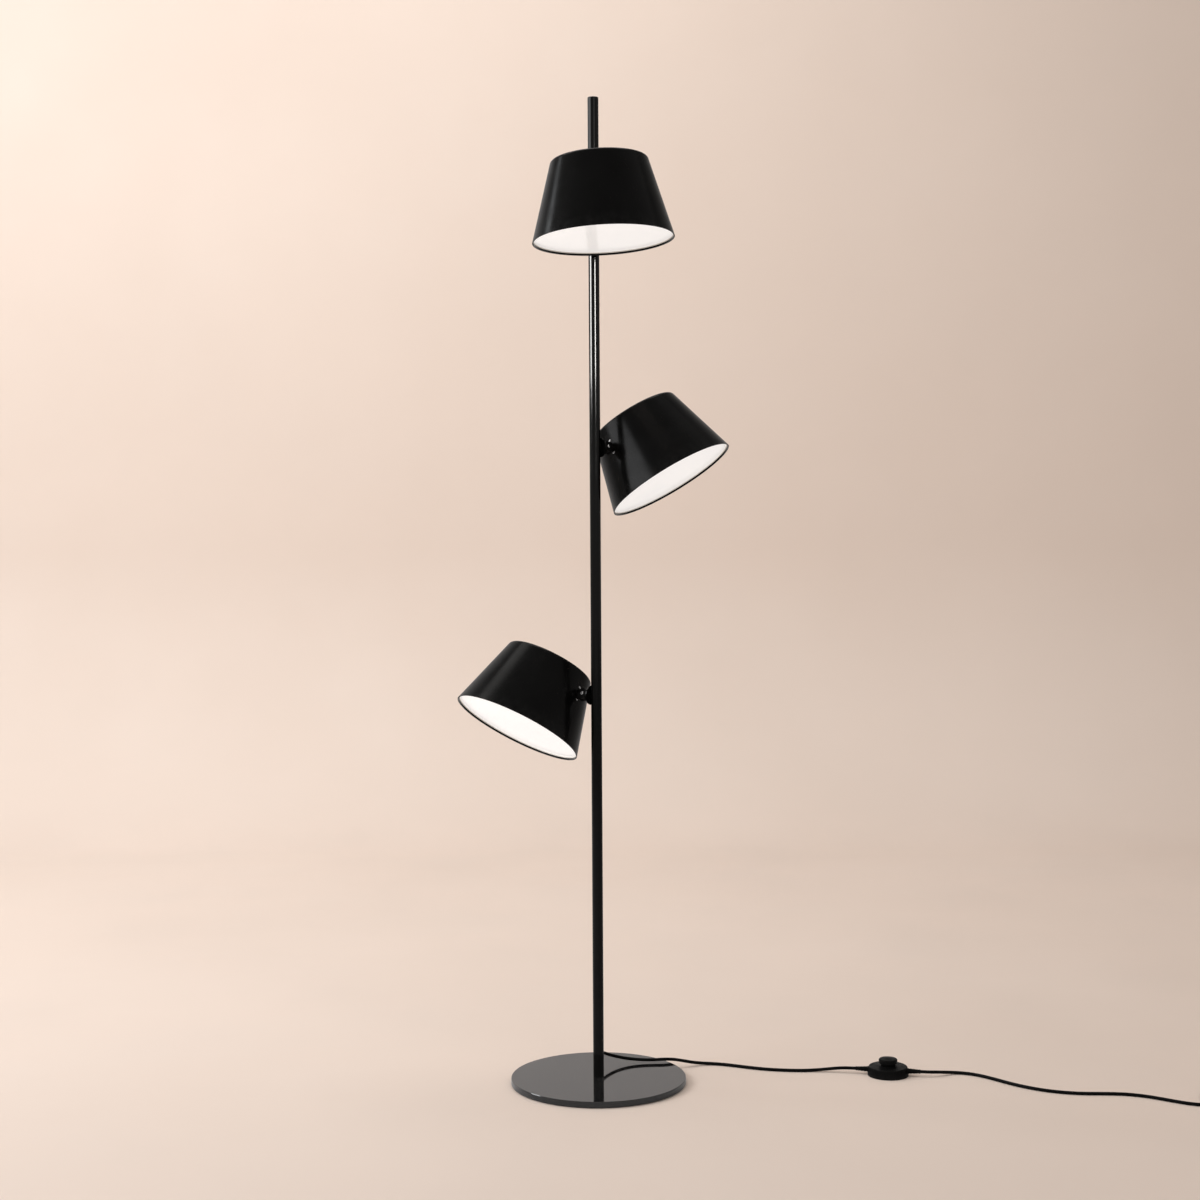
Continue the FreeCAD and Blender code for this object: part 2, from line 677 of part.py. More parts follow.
def make_light(head):
    """Opal diffuser held by the hem, and the light source under the crown."""
    place = rim_frame(head)
    face = "diffuser_recess"
    back = "(diffuser_recess + diffuser_thickness)"
    skirt = "(diffuser_recess + skirt_height)"
    spun("diffuser_" + head, [
        (0, face), (inner_radius(face), face), (inner_radius(skirt), skirt),
        (inner_radius(skirt) + " - skirt_wall", skirt),
        (inner_radius(back) + " - skirt_wall", back), (0, back)], place)

    plate_under = "(%s - plate_drop)" % CROWN_INSIDE
    plate_over = "(%s - plate_drop + plate_thickness)" % CROWN_INSIDE
    spun("heat_plate_" + head, [
        (0, plate_under), ("plate_diameter/2", plate_under),
        ("plate_diameter/2", plate_over), ("boss_diameter/2", plate_over),
        ("boss_diameter/2", CROWN_INSIDE), (0, CROWN_INSIDE)], place)

    name = "led_board_" + head
    board_under = "(%s - board_thickness)" % plate_under
    body = new_body(name)
    disc = outline(body, name + "_profile", "XZ_Plane", [
        (0, board_under), ("board_diameter/2", board_under),
        ("board_diameter/2", plate_under), (0, plate_under)])
    revolve(body, name + "_disc", disc)
    chip = outline(body, name + "_chip", "XZ_Plane", [
        ("chip_circle/2 - chip_size/2", board_under + " - chip_height"),
        ("chip_circle/2 + chip_size/2", board_under + " - chip_height"),
        ("chip_circle/2 + chip_size/2", board_under),
        ("chip_circle/2 - chip_size/2", board_under)])
    chip_pad = pad(body, name + "_chip_pad", chip, "chip_size", middle=True)
    ring = body.newObject("PartDesign::PolarPattern", name + "_ring")
    ring.Originals = [chip_pad]
    ring.Axis = (disc, ["V_Axis"])
    ring.Angle = 360
    ring.Occurrences = int(size("chip_count"))
    body.Tip = ring
    doc.recompute()
    keep(body, name, place)


# ---------------------------------------------------------------------------
# Foot switch
# ---------------------------------------------------------------------------
def switch_frame(height=0.0):
    place = Placement(SWITCH_CENTRE, Rotation(Vector(0, 0, 1), SWITCH_TURN))
    return place.multiply(lift(height))


def relief_shape():
    """Tapered bend relief, X outwards from the wall it is moulded into."""
    depth = size("relief_depth")
    length = size("relief_length")
    outward = Vector(1, 0, 0)
    root = size("relief_root_diameter") / 2
    spigot = Part.makeCylinder(root, depth, Vector(-depth, 0, 0), outward)
    taper = Part.makeCone(root, size("relief_tip_diameter") / 2, length, Vector(0, 0, 0), outward)
    return spigot.fuse(taper).removeSplitter()


def relief_seat():
    """How far from the switch's middle the relief leaves the sloping side."""
    fall = (size("switch_diameter") - size("switch_top_diameter")) / 2
    share = (size("relief_height") - size("switch_sole_height")) \
        / (size("switch_rise") - size("switch_sole_height"))
    return size("switch_diameter") / 2 - fall * share


def relief_place(side):
    turn = 0 if side > 0 else 180
    return switch_frame(size("relief_height")).multiply(
        Placement(Vector(side * relief_seat(), 0, 0), Rotation(Vector(0, 0, 1), turn)))


def relief_drills(name):
    """The round openings that one half of the switch leaves for the two reliefs."""
    drills = []
    for word, side in (("in", -1), ("out", 1)):
        place = relief_place(side).multiply(
            Placement(Vector(-size("relief_depth"), 0, 0), RADIAL_UP))
        drills.append(cylinder("%s_opening_%s" % (name, word), "relief_root_diameter/2",
                               "relief_depth + relief_length", place))
    return drills


def screw_places():
    """The three screws that close the switch from below, clear of the lead's way in."""
    places = []
    for angle in (90, 210, 330):
        turn = Placement(Vector(), Rotation(Vector(0, 0, 1), angle))
        out = Placement(Vector(size("screw_circle") / 2, 0, 0), Rotation())
        places.append(switch_frame(size("screw_recess")).multiply(turn).multiply(out))
    return places


def make_switch():
    wall = "switch_wall"
    inside = "(switch_diameter/2 - switch_wall)"
    sole = new_body("switch_base")
    profile = outline(sole, "sole_profile", "XZ_Plane", [
        (0, 0), ("switch_diameter/2", 0), ("switch_diameter/2", "switch_sole_height"),
        (inside, "switch_sole_height"), (inside, "switch_floor"), (0, "switch_floor")])
    revolve(sole, "sole_turn", profile)
    sole.Placement = switch_frame()
    drills = relief_drills("sole")
    for step, place in enumerate(screw_places()):
        drills.append(cylinder("screw_sink_%d" % step, "screw_head_diameter/2",
                               "screw_recess + screw_head_height",
                               place.multiply(lift(-size("screw_recess")))))
        drills.append(cylinder("screw_hole_%d" % step, "screw_diameter/2",
                               "screw_length", place))
    keep(cut("switch_base", sole, drills), "switch_base")

    cover = new_body("switch_cover")
    profile = outline(cover, "cover_profile", "XZ_Plane", [
        (inside, "switch_sole_height"), ("switch_diameter/2", "switch_sole_height"),
        ("switch_top_diameter/2", "switch_rise"), ("button_opening/2", "switch_crown"),
        ("button_opening/2", "switch_crown - " + wall),
        ("switch_top_diameter/2 - switch_wall", "switch_rise - " + wall)])
    revolve(cover, "cover_turn", profile)
    chamfer(cover, "cover_edge", "switch_edge_break",
            ring_edges(cover.Shape, size("switch_top_diameter") / 2))
    cover.Placement = switch_frame()
    keep(cut("switch_cover", cover, relief_drills("cover")), "switch_cover")

    reliefs = []
    for side in (-1, 1):
        relief = relief_shape()
        relief.Placement = relief_place(side)
        reliefs.append(relief)
    solid_feature("switch_reliefs", Part.makeCompound(reliefs))

    flange_top = "(switch_crown - switch_wall - button_play)"
    flange_low = "(switch_crown - switch_wall - button_play - button_flange_height)"
    neck = "button_neck_diameter/2"
    roof = "(button_top - button_wall - button_wall)"
    button = new_body("switch_button")
    profile = outline(button, "button_profile", "XZ_Plane", [
        (neck + " - button_wall", flange_low), ("button_flange_diameter/2", flange_low),
        ("button_flange_diameter/2", flange_top), (neck, flange_top),
        (neck, "button_skirt"), ("button_diameter/2", "button_skirt"),
        ("button_diameter/2", "button_top - button_wall"), (0, "button_top"),
        (0, "switch_crown"), ("post_diameter/2", "switch_crown"),
        ("post_diameter/2", roof), (neck + " - button_wall", roof)])
    revolve(button, "button_turn", profile)
    chamfer(button, "button_edge", "button_edge_break", ring_edges(
        button.Shape, size("button_diameter") / 2,
        lambda centre: centre.z > size("button_skirt") + 1))
    keep(button, "switch_button", switch_frame())

    spun("switch_module", [
        (0, "switch_floor"), ("module_diameter/2", "switch_floor"),
        ("module_diameter/2", "switch_crown - button_travel - module_gap"),
        (0, "switch_crown - button_travel - module_gap")], switch_frame())

    screws = []
    for place in screw_places():
        screw = Part.makeCylinder(size("screw_head_diameter") / 2, size("screw_head_height"))
        screw = screw.fuse(Part.makeCylinder(
            size("screw_diameter") / 2, size("screw_length"),
            Vector(0, 0, size("screw_head_height")))).removeSplitter()
        screw.Placement = place
        screws.append(screw)
    solid_feature("switch_screws", Part.makeCompound(screws))


# ---------------------------------------------------------------------------
# Mains lead: grip at the pole, two free stretches, coil and plug
# ---------------------------------------------------------------------------
def rounded_wire(points):
    """Straight runs joined by tangent arcs, each arc as large as its runs allow."""
    edges = []
    radii = []
    length = 0.0
    last = points[0]
    for before, corner, after in zip(points, points[1:], points[2:]):
        inward = (before - corner).normalize()
        onward = (after - corner).normalize()
        half_turn = (math.pi - inward.getAngle(onward)) / 2
        run = min((before - corner).Length, (after - corner).Length)
        setback = 0.45 * run
        radius = setback / math.tan(half_turn)
        middle_way = (inward + onward).normalize()
        hub = corner + middle_way * (radius / math.cos(half_turn))
        start = corner + inward * setback
        end = corner + onward * setback
        edges.append(Part.LineSegment(last, start).toShape())
        edges.append(Part.Arc(start, hub - middle_way * radius, end).toShape())
        radii.append((radius, math.degrees(2 * half_turn)))
        last = end
    edges.append(Part.LineSegment(last, points[-1]).toShape())
    return Part.Wire(edges), radii


def make_lead(name, points):
    wire, radii = rounded_wire(points)
    radius = size("lead_diameter") / 2
    heading = points[1] - points[0]
    section = Part.Wire([Part.makeCircle(radius, points[0], heading)])
    tube = wire.makePipeShell([section], True, False)
    expected = math.pi * radius ** 2 * wire.Length
    print("%s: length %.1f, volume / (section x length) %.4f" % (
        name, wire.Length, tube.Volume / expected))
    print("  radii " + " ".join("%.0f(%.0f)" % pair for pair in radii))
    runs = [(b - a).Length for a, b in zip(points, points[1:])]
    print("  runs " + " ".join("%.0f" % run for run in runs))
    solid_feature(name, tube)


def make_grip():
    """Tapered bend relief with a collar against the pole and a spigot in its wall."""
    place = Placement(Vector(0, 0, size("lead_height")), Rotation(Vector(1, 0, 0), -90))
    collar_out = "(pole_diameter/2 + grip_collar_height)"
    blank = new_body("lead_grip")
    profile = outline(blank, "grip_profile", "XZ_Plane", [
        (0, "pole_diameter/2 - pole_wall"),
        ("grip_collar_diameter/2", "pole_diameter/2 - pole_wall"),
        ("grip_collar_diameter/2", collar_out), ("grip_root_diameter/2", collar_out),
        ("grip_tip_diameter/2", "pole_diameter/2 + grip_length"),
        (0, "pole_diameter/2 + grip_length")])
    revolve(blank, "grip_turn", profile)
    blank.Placement = place
    low = size("lead_height") - size("grip_collar_diameter")
    core = cylinder("grip_seat", "pole_diameter/2", "2 * grip_collar_diameter", lift(low))
    outside = cut("lead_grip_outside", blank, [core])
    spigot = cylinder("grip_spigot", "grip_spigot_diameter/2", "pole_diameter/2 + 1", place)
    bore = cylinder("grip_bore", "pole_diameter/2 - pole_wall", "2 * grip_collar_diameter",
                    lift(low))
    spigot = cut("grip_spigot_end", spigot, [bore])
    whole = doc.addObject("Part::Fuse", "lead_grip_whole")
    whole.Base = outside
    whole.Tool = spigot
    whole.Refine = True
    doc.recompute()
    keep(whole, "lead_grip")


def make_coil():
    """The put-away turns as one ring, with a short tail at each end."""
    mean = size("coil_diameter") / 2
    half = size("coil_width") / 2
    ring = new_body("lead_coil")
    profile = outline(ring, "coil_profile", "XZ_Plane", [
        ("coil_diameter/2 - coil_width/2", 0), ("coil_diameter/2 + coil_width/2", 0),
        ("coil_diameter/2 + coil_width/2", "coil_height"),
        ("coil_diameter/2 - coil_width/2", "coil_height")])
    revolve(ring, "coil_turns", profile)
    edges = (ring_edges(ring.Shape, mean - half) + ring_edges(ring.Shape, mean + half))
    chamfer(ring, "coil_edges", "coil_edge_break", edges)
    ring.Placement = Placement(COIL_CENTRE, Rotation())
    tails = []
    for name, start, heading in coil_tails():
        turn = Rotation(Vector(0, 0, 1), heading)
        root = Placement(start, turn).multiply(lift(size("tail_root")))
        tails.append(cylinder(name, "lead_diameter/2", "coil_width + coil_tail - tail_root",
                              root))
    whole = ring
    for tail in tails:
        fuse = doc.addObject("Part::Fuse", tail.Name + "_fuse")
        fuse.Base = whole
        fuse.Tool = tail
        fuse.Refine = True
        doc.recompute()
        if fuse.Shape.Volume <= whole.Shape.Volume:
            raise RuntimeError(tail.Name + " isn't joined to the coil")
        whole = fuse
    keep(whole, "lead_coil")


def coil_tails():
    """Start and heading of the tails: in at the outermost turn, out at the middle one."""
    mean = size("coil_diameter") / 2
    low = size("lead_diameter") / 2
    outermost = mean + size("coil_width") / 2 - low
    return (
        ("tail_in", COIL_CENTRE + Vector(0, -outermost, low), Vector(-1, 0, 0)),
        ("tail_out", COIL_CENTRE + Vector(mean, 0, size("plug_height") / 2), Vector(0, 1, 0)),
    )


def tail_length():
    return size("coil_width") + size("coil_tail")


def make_plug():
    """A flat two-pin plug: waisted body, tapered tail and two round prongs."""
    start = coil_tails()[1][1] + Vector(0, tail_length(), 0)
    flat = Placement(start, Rotation())
    tail = size("plug_tail")
    length = size("plug_length")
    body = new_body("plug")
    shape = outline(body, "plug_outline", "XY_Plane", [
        ("-plug_waist/2", "plug_tail"), ("plug_waist/2", "plug_tail"),
        ("plug_width/2", "plug_tail + plug_length - plug_nose"),
        ("plug_width/2", "plug_tail + plug_length"),
        ("-plug_width/2", "plug_tail + plug_length"),
        ("-plug_width/2", "plug_tail + plug_length - plug_nose")])
    pad(body, "plug_block", shape, "plug_height", middle=True)
    around = ["Edge%d" % index for index, edge in enumerate(body.Shape.Edges, start=1)
              if abs(edge.CenterOfMass.y - (tail + length)) > 1e-4
              and abs(edge.CenterOfMass.y - tail) > 1e-4
              and abs(edge.CenterOfMass.z) > 1e-4]
    fillet(body, "plug_edges", "plug_round", around)
    body.Placement = flat
    cone = doc.addObject("Part::Cone", "plug_tail_cone")
    cone.setExpression("Radius1", formula("plug_tip_diameter/2"))
    cone.setExpression("Radius2", formula("plug_tail_diameter/2"))
    cone.setExpression("Height", formula("plug_tail + 1"))
    cone.Placement = Placement(start, Rotation(Vector(1, 0, 0), -90))
    whole = doc.addObject("Part::Fuse", "plug_whole")
    whole.Base = body
    whole.Tool = cone
    whole.Refine = True
    doc.recompute()
    keep(whole, "plug_body")
    prongs = []
    for side in (-1, 1):
        root = start + Vector(side * size("prong_pitch") / 2, tail + length, 0)
        onward = Vector(0, 1, 0)
        radius = size("prong_diameter") / 2
        shank = size("prong_length") - size("prong_tip")
        prong = Part.makeCylinder(radius, shank, root, onward)
        prongs.append(prong.fuse(Part.makeCone(
            radius, radius - size("prong_tip"), size("prong_tip"), root + onward * shank, onward)))
    solid_feature("plug_prongs", Part.makeCompound(prongs))


def make_leads():
    grip_tip = Vector(0, pole_radius + size("grip_length"), size("lead_height"))
    tips = []
    for side in (-1, 1):
        tips.append(relief_place(side).multVec(Vector(size("relief_length"), 0, 0)))
    tail_end = coil_tails()[0][1] + Vector(-tail_length(), 0, 0)
    make_lead("lead_to_switch",
              [grip_tip] + [Vector(*point) for point in ROUTE_TO_SWITCH] + [tips[0]])
    make_lead("lead_to_coil",
              [tips[1]] + [Vector(*point) for point in ROUTE_TO_COIL] + [tail_end])
    print("relief tips", tips, "tail", tail_end)


make_base()
make_pole()
for head in HEADS:
    make_rosette(head)
    make_swivel(head)
    make_shade(head)
    make_tongue(head)
    make_rivets(head)
    make_light(head)
solid_feature("saddle_washers", Part.makeCompound([saddle_shape(head) for head in HEADS]))
make_grip()
make_switch()
make_leads()
make_coil()
make_plug()

# ---------------------------------------------------------------------------
# Check every object, then write one file for each sub-part
# ---------------------------------------------------------------------------
doc.recompute()
for item in doc.Objects:
    if "Invalid" in item.State or "Error" in item.State:
        raise RuntimeError("failed object: " + item.Name)
for name, item in sub_parts.items():
    if item.Shape.isNull() or not item.Shape.isValid():
        raise RuntimeError("bad shape: " + name)

os.makedirs("parts", exist_ok=True)
for name, item in sub_parts.items():
    item.Shape.exportStep("parts/" + name + ".step")
print("%d sub-parts written" % len(sub_parts))
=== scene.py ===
# %% [markdown]
# # Pole floor lamp with three swivelling spotlights
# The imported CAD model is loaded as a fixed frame, in metres. The mains lead is drawn
# again as a smooth curve, every surface gets a procedural finish, and a soft studio
# stands round it. Nothing here changes a size of the lamp.

# %% Load the frame
import math
import bpy
from mathutils import Matrix, Vector


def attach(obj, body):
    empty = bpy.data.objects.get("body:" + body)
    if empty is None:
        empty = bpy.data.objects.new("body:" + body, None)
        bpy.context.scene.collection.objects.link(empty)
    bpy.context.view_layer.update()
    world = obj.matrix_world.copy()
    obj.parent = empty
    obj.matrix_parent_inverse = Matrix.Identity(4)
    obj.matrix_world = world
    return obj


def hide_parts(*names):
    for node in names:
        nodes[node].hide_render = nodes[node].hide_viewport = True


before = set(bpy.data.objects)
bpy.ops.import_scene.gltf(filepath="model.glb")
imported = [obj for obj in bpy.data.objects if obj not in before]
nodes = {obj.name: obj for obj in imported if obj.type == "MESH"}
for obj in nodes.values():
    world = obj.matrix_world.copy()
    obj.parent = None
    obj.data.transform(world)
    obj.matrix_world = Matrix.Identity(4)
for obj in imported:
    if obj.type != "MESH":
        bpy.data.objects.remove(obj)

scene = bpy.context.scene
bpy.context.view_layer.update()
MM = 0.001

# %% [markdown]
# ## Camera
# The camera was fitted to the pole's edges, the base's rim and the shades' rims in the
# photograph: about 3.1 m away, 0.92 m up, looking 3.2 degrees down and rolled by a
# third of a degree. The picture centre lies a little above the optical axis, so the
# camera carries a small shift.

# %% Camera
CAMERA_PLACE = (0.0064, -3.138, 0.920)
LOOKING_DOWN = 3.2
ROLL = -0.33
LENS = 59.55
SENSOR = 36
SHIFT_UP = 0.0158


def turned(degrees, axis):
    return Matrix.Rotation(math.radians(degrees), 4, axis)


def shifted(x, y, z):
    """A shift stated in millimetres."""
    return Matrix.Translation(Vector((x, y, z)) * MM)


camera_data = bpy.data.cameras.new("camera")
camera_data.sensor_width = SENSOR
camera_data.lens = LENS
camera_data.shift_y = SHIFT_UP
camera = bpy.data.objects.new("camera", camera_data)
scene.collection.objects.link(camera)
camera.matrix_world = (Matrix.Translation(CAMERA_PLACE)
                       @ turned(90 - LOOKING_DOWN, "X") @ turned(ROLL, "Z"))
scene.camera = camera
print("camera lens %.2f mm" % camera_data.lens)

# %% [markdown]
# ## Mains lead
# One round two-core lead leaves the grip at the foot of the pole, lies on the floor in
# slack curves to the foot switch, goes on past it, and what the photograph doesn't
# show is put away in a flat coil with the plug beside it. Each stretch is one spline
# whose control points are the route's own points, so it bends the way a stiff lead
# does and never kinks. Inside the coil the lead winds inwards for nearly three turns
# on the floor, climbs over itself, and winds back out on top.

# %% Lead routes
LEAD_DIAMETER = 5.2
GRIP_TIP = (0, 32.5, 37.5)
SWITCH_IN = (417.911, 43.859, 8)
SWITCH_OUT = (520.089, 22.141, 8)
ROUTE_TO_SWITCH = (
    (0, 44.5, 37.5), (5, 55.5, 34), (16, 64, 27.6), (31, 70, 22), (49, 73, 17.8),
    (70, 74, 15.6), (90, 74.5, 15.2), (108, 76.5, 15.8), (125, 79.5, 14.4),
    (140, 84, 10.6), (154, 89.5, 6.6), (169, 94, 3.8), (186, 95, 2.7), (206, 90, 2.6),
    (228, 80, 2.6), (252, 68.5, 2.6), (278, 59, 2.6), (306, 53.5, 2.6), (333, 51.5, 2.6),
    (356, 52.5, 3.2), (374, 51.8, 4.9), (390, 49.6, 7), (405.2, 46.6, 8))
ROUTE_TO_COIL = (
    (532.4, 19.6, 8), (545.5, 22, 7.2), (558, 28, 5.2), (571, 32.5, 3.6),
    (586, 33.5, 2.6), (603, 26.5, 2.6), (620, 13, 2.6), (636, -5, 2.6), (653, -26, 2.6),
    (673, -46, 2.6), (696, -63.5, 2.6), (724, -77, 2.6), (756, -84.5, 2.6),
    (790, -85, 2.6), (822, -88, 2.6), (851, -100, 2.6), (877, -119, 2.6),
    (902, -137.5, 2.6), (920.5, -145.7, 2.6), (936.4, -145.7, 2.6))
ROUTE_TO_PLUG = ((997.4, -105, 7.8), (995.2, -93, 7.8), (994.5, -82.4, 7.8))
# 3 mm further out than the CAD's ring, which keeps the turns past the picture's edge
COIL_CENTRE = (969, -112)
OUTER, MIDDLE, INNER = 33.7, 28.5, 23.3
FLOOR_LAYER = LEAD_DIAMETER / 2
TOP_LAYER = FLOOR_LAYER + LEAD_DIAMETER
# turns from the way in, with the radius and height of the lead's middle there
COIL_STEPS = (
    (0.0, OUTER, FLOOR_LAYER), (0.8, OUTER, FLOOR_LAYER), (1.0, MIDDLE, FLOOR_LAYER),
    (1.8, MIDDLE, FLOOR_LAYER), (2.0, INNER, FLOOR_LAYER), (2.7, INNER, FLOOR_LAYER),
    (3.0, INNER, TOP_LAYER), (3.75, INNER, TOP_LAYER), (4.0, MIDDLE, TOP_LAYER),
    (4.25, MIDDLE, TOP_LAYER))
POINTS_PER_TURN = 16
# control points of a spline lie a little outside the circle that it follows
OUTSIDE = 1 / math.cos(math.pi / POINTS_PER_TURN) ** 0.5


def coil_point(turns):
    for before, after in zip(COIL_STEPS, COIL_STEPS[1:]):
        if before[0] <= turns <= after[0]:
            share = (turns - before[0]) / (after[0] - before[0])
            radius = (before[1] + (after[1] - before[1]) * share) * OUTSIDE
            height = before[2] + (after[2] - before[2]) * share
            angle = 2 * math.pi * turns
            return (COIL_CENTRE[0] + radius * math.sin(angle),
                    COIL_CENTRE[1] - radius * math.cos(angle), height)


def coil_points():
    count = round(COIL_STEPS[-1][0] * POINTS_PER_TURN)
    return [coil_point((step + 0.5) / POINTS_PER_TURN) for step in range(count)]


def lead_curve(name, points):
    curve = bpy.data.curves.new(name, "CURVE")
    curve.dimensions = "3D"
    # the points carry the tube's radius, so the curve's own box is the tube's box
    curve.bevel_depth = 1
    curve.bevel_resolution = 5
    curve.resolution_u = 8
    curve.use_fill_caps = True
    spline = curve.splines.new("NURBS")
    spline.points.add(len(points) - 1)
    for place, point in zip(spline.points, points):
        place.co = (*(Vector(point) * MM), 1)
        place.radius = LEAD_DIAMETER / 2 * MM
    spline.order_u = 3
    spline.use_endpoint_u = True
    piece = bpy.data.objects.new(name, curve)
    scene.collection.objects.link(piece)
    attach(piece, "stand")
    print(name, "%.3f m on %d points" % (spline.calc_length(), len(points)))
    return piece


# %% Lead, switch and plug together
lead_in = lead_curve("lead_pole_to_switch", [GRIP_TIP, *ROUTE_TO_SWITCH, SWITCH_IN])
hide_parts("lead_to_switch")

lead_out = lead_curve("lead_switch_to_plug",
                      [SWITCH_OUT, *ROUTE_TO_COIL, *coil_points(), *ROUTE_TO_PLUG])
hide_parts("lead_to_coil", "lead_coil")

# %% [markdown]
# ## Finishes
# Every finish is built from the same few ideas, because real surfaces vary in the same
# ways: slow blotches of slightly different colour, a fine grain that catches light,
# roughness that changes where hands and cloths have been, and a little wear on sharp
# edges. What differs is the scale. Lacquer has a long, shallow ripple, moulded plastic
# a fine spark-eroded grain, and drawn steel fine lines along its length.

# %% Finish maker
# pointiness at which an edge starts to wear and is worn, and how bare it gets
EDGE_FROM, EDGE_TO, EDGE_BARE = 0.53, 0.62, 0.6
# smudges take the roughness this far down and up
SMOOTHED, DULLED = 0.8, 1.25
BUMP_STRENGTH = 0.6
COAT_ROUGHNESS = 0.06


def mix_colours(tree, factor, first, second):
    """Each colour is three numbers or a socket."""
    mix = tree.nodes.new("ShaderNodeMix")
    mix.data_type = "RGBA"
    tree.links.new(factor, mix.inputs["Factor"])
    for socket, value in ((mix.inputs[6], first), (mix.inputs[7], second)):
        if isinstance(value, tuple):
            socket.default_value = (*value, 1)
        else:
            tree.links.new(value, socket)
    return mix.outputs[2]


def surface(name, dark, light, rough, blotch, grain, depth, metal=0.0, stretch=(1, 1, 1),
            wear=None, coat=0.0, painted_glow=0.0, shine=0.5, cells=False):
    """Colours are linear; blotch and grain are features per metre; depth is in metres."""
    material = bpy.data.materials.new(name)
    material.use_nodes = True
    tree = material.node_tree
    link = tree.links.new
    shader = tree.nodes["Principled BSDF"]
    coordinates = tree.nodes.new("ShaderNodeTexCoord")
    mapping = tree.nodes.new("ShaderNodeMapping")
    mapping.inputs["Scale"].default_value = stretch
    link(coordinates.outputs["Object"], mapping.inputs["Vector"])

    def noise(scale, detail):
        texture = tree.nodes.new("ShaderNodeTexNoise")
        texture.inputs["Scale"].default_value = scale
        texture.inputs["Detail"].default_value = detail
        link(mapping.outputs["Vector"], texture.inputs["Vector"])
        return texture.outputs[0]

    def spread(value, low, high, from_low=0.3, from_high=0.7):
        ranged = tree.nodes.new("ShaderNodeMapRange")
        ranged.inputs["From Min"].default_value = from_low
        ranged.inputs["From Max"].default_value = from_high
        ranged.inputs["To Min"].default_value = low
        ranged.inputs["To Max"].default_value = high
        link(value, ranged.inputs["Value"])
        return ranged.outputs["Result"]

    patches = noise(blotch, 3)
    fine = noise(grain, 5)
    colour = mix_colours(tree, spread(patches, 0, 1), dark, light)
    if cells:
        voronoi = tree.nodes.new("ShaderNodeTexVoronoi")
        voronoi.inputs["Scale"].default_value = grain
        link(mapping.outputs["Vector"], voronoi.inputs["Vector"])
        fine = voronoi.outputs["Distance"]
        colour = mix_colours(tree, fine, tuple(part / 2 for part in dark), colour)
    if wear:
        geometry = tree.nodes.new("ShaderNodeNewGeometry")
        edge = spread(geometry.outputs["Pointiness"], 0, 1, EDGE_FROM, EDGE_TO)
        rub = tree.nodes.new("ShaderNodeMath")
        rub.operation = "MULTIPLY"
        link(edge, rub.inputs[0])
        link(spread(noise(blotch * 8, 4), 0, EDGE_BARE), rub.inputs[1])
        colour = mix_colours(tree, rub.outputs[0], colour, wear)
    link(colour, shader.inputs["Base Color"])
    smudges = noise(blotch * 3, 6)
    link(spread(smudges, rough * SMOOTHED, rough * DULLED), shader.inputs["Roughness"])
    bump = tree.nodes.new("ShaderNodeBump")
    bump.inputs["Strength"].default_value = BUMP_STRENGTH
    bump.inputs["Distance"].default_value = depth
    link(fine, bump.inputs["Height"])
    link(bump.outputs["Normal"], shader.inputs["Normal"])
    shader.inputs["Metallic"].default_value = metal
    shader.inputs["Specular IOR Level"].default_value = shine
    shader.inputs["Coat Weight"].default_value = coat
    shader.inputs["Coat Roughness"].default_value = COAT_ROUGHNESS
    # painted glow: the emission brightens the surface, though no lamp behind it is lit
    if painted_glow:
        link(colour, shader.inputs["Emission Color"])
        shader.inputs["Emission Strength"].default_value = painted_glow
    print("finish:", name)
    return material
